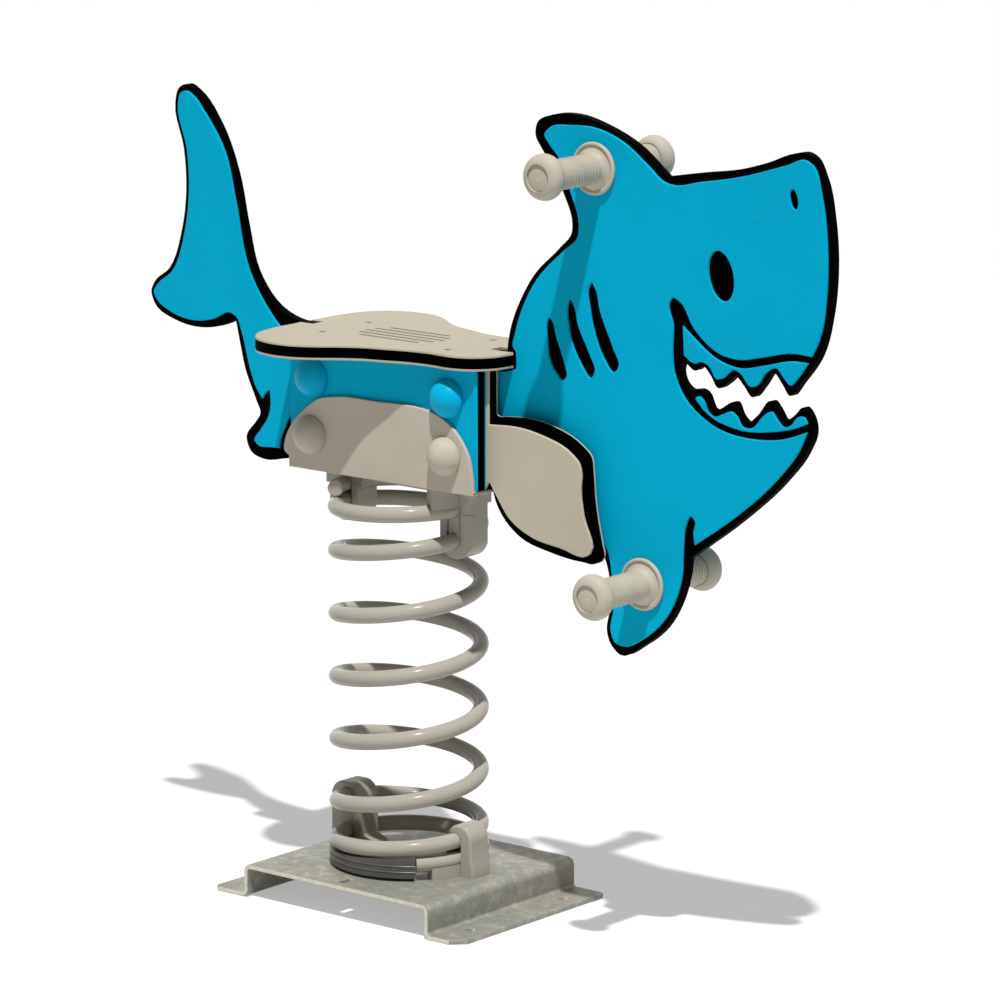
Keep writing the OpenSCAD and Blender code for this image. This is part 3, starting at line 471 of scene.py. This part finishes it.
beige_coat = coat_material("polyester_powder_coat_beige", "#B8AE9E", "#C1B7A7")
saddle = rounded_copy("saddle", "coated_saddle", SADDLE_EDGE, clear_of_holes)
settle(saddle, "rider", "powder_coat", "saddle", beige_coat, beige_coat)


# Shark panel: 19 mm three-layer polyethylene sheet, blue over black over blue, cut out by a router.
# The router then takes away the blue skin along the lines, gills, eye and mouth, so that the black shows.

SKIN_EDGE = 0.0014
CORE_EDGE = 0.001
PANEL_FACE = 0.0095
PALE_SCUFF = (0.8, 0.8, 0.8, 1)
# Middle and radius of the place in the lower gum where the skin is too narrow for round edges
NARROW_X = 0.475
NARROW_Z = 0.6715
NARROW_RADIUS = 0.016


def sheet_material(name, dark, light, rough):
    """High-density polyethylene sheet: a matt face with a pressed grain of about 1.2 mm,
    a slow fade of the colour, and short pale scuffs about 20 mm long from use."""
    material, tree, shader = new_material(name, IOR=1.54, Specular_IOR_Level=0.03)
    place = add(tree, "TexCoord")
    pressed = add(tree, "TexNoise", {"Scale": 1 / 0.0012, "Detail": 2}, {"Vector": place.outputs["Object"]})
    fade = add(tree, "TexNoise", {"Scale": 1 / 0.16, "Detail": 5}, {"Vector": place.outputs["Object"]})
    drawn = add(
        tree, "Mapping", {"Rotation": (0, math.radians(28), 0), "Scale": (1, 1, 14)},
        {"Vector": place.outputs["Object"]},
    )
    scuffs = add(
        tree, "TexNoise", {"Scale": 1 / 0.02, "Detail": 3, "Roughness": 0.6},
        {"Vector": drawn.outputs["Vector"]},
    )
    tone = add(
        tree, "ValToRGB", links={"Fac": fade.outputs["Fac"]}, stops=[(0.3, dark), (0.7, light)]
    )
    marks = add(
        tree, "MapRange", {"From Min": 0.66, "From Max": 0.8, "To Min": 0.0, "To Max": 0.06},
        {"Value": scuffs.outputs["Fac"]},
    )
    scuffed = add(
        tree, "Mix", {7: PALE_SCUFF}, {0: marks.outputs["Result"], 6: tone.outputs["Color"]},
        data_type="RGBA",
    )
    sheen = add(
        tree, "MapRange", {"From Min": 0.3, "From Max": 0.7, "To Min": rough - 0.06, "To Max": rough + 0.08},
        {"Value": fade.outputs["Fac"]},
    )
    grain = add(tree, "Bump", {"Strength": 0.12, "Distance": 0.0003}, {"Height": pressed.outputs["Fac"]})
    tree.links.new(scuffed.outputs[2], shader.inputs["Base Color"])
    tree.links.new(sheen.outputs["Result"], shader.inputs["Roughness"])
    tree.links.new(grain.outputs["Normal"], shader.inputs["Normal"])
    return material


def routed_material(name, dark, light, rough, shine=0.06):
    """Routed polyethylene: smoother than the face, with fine cutter marks about 2 mm apart."""
    material, tree, shader = new_material(name, IOR=1.54, Specular_IOR_Level=shine, Roughness=rough)
    place = add(tree, "TexCoord")
    cutter = add(
        tree, "TexNoise", {"Scale": 1 / 0.002, "Detail": 3, "Distortion": 0.5},
        {"Vector": place.outputs["Object"]},
    )
    tone = add(
        tree, "ValToRGB", links={"Fac": cutter.outputs["Fac"]}, stops=[(0.3, dark), (0.7, light)]
    )
    marks = add(tree, "Bump", {"Strength": 0.15, "Distance": 0.0003}, {"Height": cutter.outputs["Fac"]})
    tree.links.new(tone.outputs["Color"], shader.inputs["Base Color"])
    tree.links.new(marks.outputs["Normal"], shader.inputs["Normal"])
    return material


def outer_edges(level):
    """Picks the edges of a layer on its outer face, at a distance from the middle plane,
    clear of the narrow place."""
    def clear(v):
        return math.hypot(v.x - NARROW_X, v.z - NARROW_Z) > NARROW_RADIUS

    def chosen(a, b):
        return all(abs(abs(v.y) - level) < ON_LEVEL and clear(v) for v in (a, b))
    return chosen


blue_face = sheet_material("hdpe_sheet_blue", "#00A8CE", "#00AED4", 0.55)
# The rounded edges of the blue skins take a lighter blue than the face: a painted highlight along them.
blue_edge_painted_highlight = routed_material("hdpe_blue_routed_painted_highlight", "#00ACD6", "#02B4E0", 0.42)
black_core = routed_material("hdpe_black_routed", "#000000", "#030303", 0.5, 0.004)

shark_core = rounded_copy("body_core", "shark_core", CORE_EDGE, segments=2)
settle(shark_core, "rider", "black_sheet", "body_core", black_core, black_core)
for side in ("right", "left"):
    skin = rounded_copy("body_skin_" + side, "shark_skin_" + side, SKIN_EDGE, outer_edges(PANEL_FACE))
    settle(skin, "rider", "blue_sheet", "body_skin_" + side, blue_face, blue_edge_painted_highlight)


# Fin panels: the same three-layer sheet with grey-beige skins, routed around the breast fin.
# Spacers keep them off the shark panel, and the through bolts hold them.

FIN_FACE = 0.034
FIN_BACK = 0.015

stone_face = sheet_material("hdpe_sheet_stone", "#BDB4A0", "#C3BAA6", 0.55)
# The rounded edges of the stone skins and the seat take a lighter grey-beige than the face: a painted
# highlight along them.
stone_edge_painted_highlight = routed_material("hdpe_stone_routed_painted_highlight", "#C2BAA8", "#CAC2B0", 0.42)

for side in ("right", "left"):
    core = rounded_copy("fin_core_" + side, "fin_panel_core_" + side, CORE_EDGE, segments=2)
    settle(core, "rider", "black_sheet", "fin_core_" + side, black_core, black_core)
    for layer, level in (("face", FIN_FACE), ("back", FIN_BACK)):
        node = "fin_" + layer + "_" + side
        skin = rounded_copy(node, "fin_panel_" + layer + "_" + side, SKIN_EDGE, outer_edges(level))
        settle(skin, "rider", "stone_sheet", node, stone_face, stone_edge_painted_highlight)


# Side panels: plain boards of the blue sheet under the seat, one on each side.
# The seat is screwed into their upper edges.

SIDE_FACE = 0.053
SIDE_BACK = 0.034

for side in ("right", "left"):
    paint_nodes(black_core, "side_core_" + side)
    for layer, level in (("face", SIDE_FACE), ("back", SIDE_BACK)):
        node = "side_" + layer + "_" + side
        skin = rounded_copy(node, "side_panel_" + layer + "_" + side, SKIN_EDGE, outer_edges(level))
        settle(skin, "rider", "blue_sheet", node, blue_face, blue_edge_painted_highlight)


# Through bolts with washers, nuts and spacers: zinc-plated steel, turned and pressed.
# They clamp the panels in two rows, and the panels and caps hide them.

paint_nodes(plated_steel, "panel_spacers", "upper_bolts", "lower_bolts", "bolt_washers", "bolt_nuts")


# Bolt caps: a ring that the bolt clamps on the panel and a domed lid that snaps over it.
# Both are injection moulded, blue on the side panels and grey-beige on the saddle.

RING_EDGE = 0.0009


def moulded_material(name, dark, light, rough):
    """Injection-moulded polyamide: even colour, silky gloss, a spark-eroded grain of about 0.8 mm
    and faint cloudy flow marks."""
    material, tree, shader = new_material(name, IOR=1.53, Specular_IOR_Level=0.07)
    place = add(tree, "TexCoord")
    grain = add(tree, "TexNoise", {"Scale": 1 / 0.0008, "Detail": 1}, {"Vector": place.outputs["Object"]})
    flow = add(
        tree, "TexNoise", {"Scale": 1 / 0.035, "Detail": 3, "Distortion": 0.6},
        {"Vector": place.outputs["Object"]},
    )
    tone = add(
        tree, "ValToRGB", links={"Fac": flow.outputs["Fac"]}, stops=[(0.3, dark), (0.7, light)]
    )
    sheen = add(
        tree, "MapRange", {"From Min": 0.3, "From Max": 0.7, "To Min": rough - 0.05, "To Max": rough + 0.07},
        {"Value": flow.outputs["Fac"]},
    )
    bump = add(tree, "Bump", {"Strength": 0.08, "Distance": 0.0002}, {"Height": grain.outputs["Fac"]})
    tree.links.new(tone.outputs["Color"], shader.inputs["Base Color"])
    tree.links.new(sheen.outputs["Result"], shader.inputs["Roughness"])
    tree.links.new(bump.outputs["Normal"], shader.inputs["Normal"])
    return material


blue_moulded = moulded_material("moulded_polyamide_blue", "#00A6CF", "#02ADD8", 0.36)
stone_moulded = moulded_material("moulded_polyamide_stone", "#B7AF9E", "#C0B8A7", 0.4)

for colour, material in (("blue", blue_moulded), ("grey", stone_moulded)):
    node = colour + "_cap_rings"
    rings = rounded_copy(node, colour + "_bolt_cap_rings", RING_EDGE)
    settle(rings, "rider", "blue_moulded" if colour == "blue" else "stone_moulded", node, material, material)
    paint_nodes(material, colour + "_cap_domes")


# Seat: three-layer sheet with grey-beige skins, cut to a saddle shape with a slot at each end.
# Lines are routed through the top skin for grip, and four stainless screws hold it to the side panels.

SEAT_EDGE = 0.0016
SCREW_EDGE = 0.0003
HEAD_HALF = 0.006
SCREW_SOCKET = 0.0058
SOCKET_DEPTH = 0.0022

# Half the width of the slots, and half the size of the field where the screws and the routed lines are
SLOT_HALF = 0.0125
FIELD_LENGTH = 0.112
FIELD_WIDTH = 0.052

seat_top_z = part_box("seat_top")[1].z
seat_bottom_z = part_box("seat_bottom")[0].z


def outline_edges(level):
    """Picks the edges of a seat skin at a height that are on its outline, clear of the slots."""
    def on_outline(v):
        in_field = abs(v.x) < FIELD_LENGTH and abs(v.y) < FIELD_WIDTH
        return abs(v.z - level) < ON_LEVEL and abs(v.y) > SLOT_HALF and not in_field

    def chosen(a, b):
        return on_outline(a) and on_outline(b)
    return chosen


# The top skin of the seat takes a darker copy of the stone colour: painted shade that tones down the stronger
# key light on this upward face.
seat_face_painted_shade = sheet_material("hdpe_sheet_stone_painted_shade", "#B1A896", "#B6AE9B", 0.5)

seat_top = rounded_copy("seat_top", "seat_top_skin", SEAT_EDGE, outline_edges(seat_top_z))
settle(seat_top, "rider", "stone_sheet", "seat_top", seat_face_painted_shade, stone_edge_painted_highlight)
seat_bottom = rounded_copy("seat_bottom", "seat_bottom_skin", SEAT_EDGE, outline_edges(seat_bottom_z))
settle(seat_bottom, "rider", "stone_sheet", "seat_bottom", stone_face, stone_edge_painted_highlight)
paint_nodes(black_core, "seat_core")

# Stainless steel of the screws: a cool grey, lightly brushed, with scratches about 1 mm apart.
stainless, tree, shader = new_material("stainless_steel", Metallic=1.0)
place = add(tree, "TexCoord")
brushed = add(
    tree, "Mapping", {"Scale": (1, 9, 1)}, {"Vector": place.outputs["Object"]}
)
scratch = add(tree, "TexNoise", {"Scale": 1 / 0.004, "Detail": 3}, {"Vector": brushed.outputs["Vector"]})
tone = add(
    tree, "ValToRGB", links={"Fac": scratch.outputs["Fac"]}, stops=[(0.3, "#8B8A86"), (0.7, "#A7A6A1")]
)
dull = add(
    tree, "MapRange", {"From Min": 0.3, "From Max": 0.7, "To Min": 0.3, "To Max": 0.45},
    {"Value": scratch.outputs["Fac"]},
)
tree.links.new(tone.outputs["Color"], shader.inputs["Base Color"])
tree.links.new(dull.outputs["Result"], shader.inputs["Roughness"])

screws = rounded_copy("seat_screws", "stainless_seat_screws", SCREW_EDGE, segments=2)
screw_low, screw_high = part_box("seat_screws")
sockets = []
for x in (screw_low.x + HEAD_HALF, screw_high.x - HEAD_HALF):
    for y in (screw_low.y + HEAD_HALF, screw_high.y - HEAD_HALF):
        bpy.ops.object.select_all(action="DESELECT")
        bpy.ops.mesh.primitive_cylinder_add(
            vertices=6, radius=SCREW_SOCKET / 2, depth=SOCKET_DEPTH * 2, location=(x, y, screw_high.z)
        )
        sockets.append(bpy.context.object)
bpy.ops.object.select_all(action="DESELECT")
for socket in sockets:
    socket.select_set(True)
bpy.context.view_layer.objects.active = sockets[0]
bpy.ops.object.join()
apply_modifier(screws, "BOOLEAN", operation="DIFFERENCE", object=sockets[0], solver="EXACT")
bpy.data.objects.remove(sockets[0])
settle(screws, "rider", "steel", "seat_screws", stainless, stainless)


# Hand and foot grips: moulded polyamide with a flange, a grooved neck and a knob, closed by a plug at the end.
# Each pair sits on a steel rod through the shark panel.

paint_nodes(plated_steel, "hand_rod", "foot_rod")
for limb in ("hand", "foot"):
    paint_nodes(stone_moulded, limb + "_grip_right", limb + "_grip_left", limb + "_grip_plugs")


# Floor: a plain white ground that shows white to the camera and keeps the shadow.

FLOOR_HALF = 4.4
FLOOR_DROP = 0.0003
# What the floor gives back to the object, what it shows to the camera, and its own glow there
FLOOR_BOUNCE = (0.8, 0.8, 0.8, 1)
FLOOR_SHOWN = (0.6, 0.6, 0.6, 1)
FLOOR_GLOW = 0.37


def seen_by_camera(tree):
    """Socket that is 1 for what the camera sees, straight or by way of a mirror or glass,
    and 0 for all other light."""
    rays = add(tree, "LightPath")
    mirrored = add(
        tree, "Math", links={0: rays.outputs["Is Glossy Ray"], 1: rays.outputs["Is Transmission Ray"]},
        operation="MAXIMUM",
    )
    seen = add(
        tree, "Math", links={0: rays.outputs["Is Camera Ray"], 1: mirrored.outputs[0]}, operation="MAXIMUM"
    )
    return seen.outputs[0]


bpy.ops.object.select_all(action="DESELECT")
bpy.ops.mesh.primitive_plane_add(size=FLOOR_HALF * 2, location=(0, 0, -FLOOR_DROP))
floor = bpy.context.object
floor.name = "studio_floor"
ground = bpy.data.materials.new("white_floor")
ground.use_nodes = True
tree = ground.node_tree
tree.nodes.clear()
bounce = add(tree, "BsdfDiffuse", {"Color": FLOOR_BOUNCE})
shaded = add(tree, "BsdfDiffuse", {"Color": FLOOR_SHOWN})
glow = add(tree, "Emission", {"Color": (1, 1, 1, 1), "Strength": FLOOR_GLOW})
shown = add(tree, "AddShader", links={0: shaded.outputs[0], 1: glow.outputs[0]})
mixed = add(
    tree, "MixShader", links={0: seen_by_camera(tree), 1: bounce.outputs[0], 2: shown.outputs[0]}
)
add(tree, "OutputMaterial", links={"Surface": mixed.outputs[0]})
floor.data.materials.append(ground)


# Light: a small, high key lamp from the viewer's side,
# and an even surround that lights softly and shows white to the camera.

KEY_FROM = Vector((0.2416, -0.2799, 0.9291))
KEY_DISTANCE = 34
KEY_LIGHT = 3.6
KEY_RADIUS = 0.38
SURROUND = 0.2

bpy.ops.object.light_add(type="POINT", location=KEY_FROM * KEY_DISTANCE)
key = bpy.context.object
key.name = "key_lamp"
key.data.energy = KEY_LIGHT * 4 * math.pi * KEY_DISTANCE ** 2
key.data.shadow_soft_size = KEY_RADIUS

world = bpy.data.worlds.new("white_surround")
bpy.context.scene.world = world
world.use_nodes = True
tree = world.node_tree
tree.nodes.clear()
level = add(tree, "MapRange", {"To Min": SURROUND, "To Max": 1.0}, {"Value": seen_by_camera(tree)})
white = add(tree, "Background", {"Color": (1, 1, 1, 1)}, {"Strength": level.outputs["Result"]})
add(tree, "OutputWorld", links={"Surface": white.outputs[0]})


# Camera: the viewer stands in front and to the right, a little above the seat, with a long lens.

CAMERA_PLACE = (4.17155, -4.87459, 1.82936)
CAMERA_TILT = math.radians(78.3359)
CAMERA_TURN = math.radians(39.541)
SENSOR = 36
LENS = 190.484

bpy.ops.object.camera_add(location=CAMERA_PLACE, rotation=(CAMERA_TILT, 0, CAMERA_TURN))
camera = bpy.context.object
camera.data.sensor_width = SENSOR
camera.data.lens = LENS
bpy.context.scene.camera = camera
bpy.context.scene.view_settings.view_transform = "Standard"
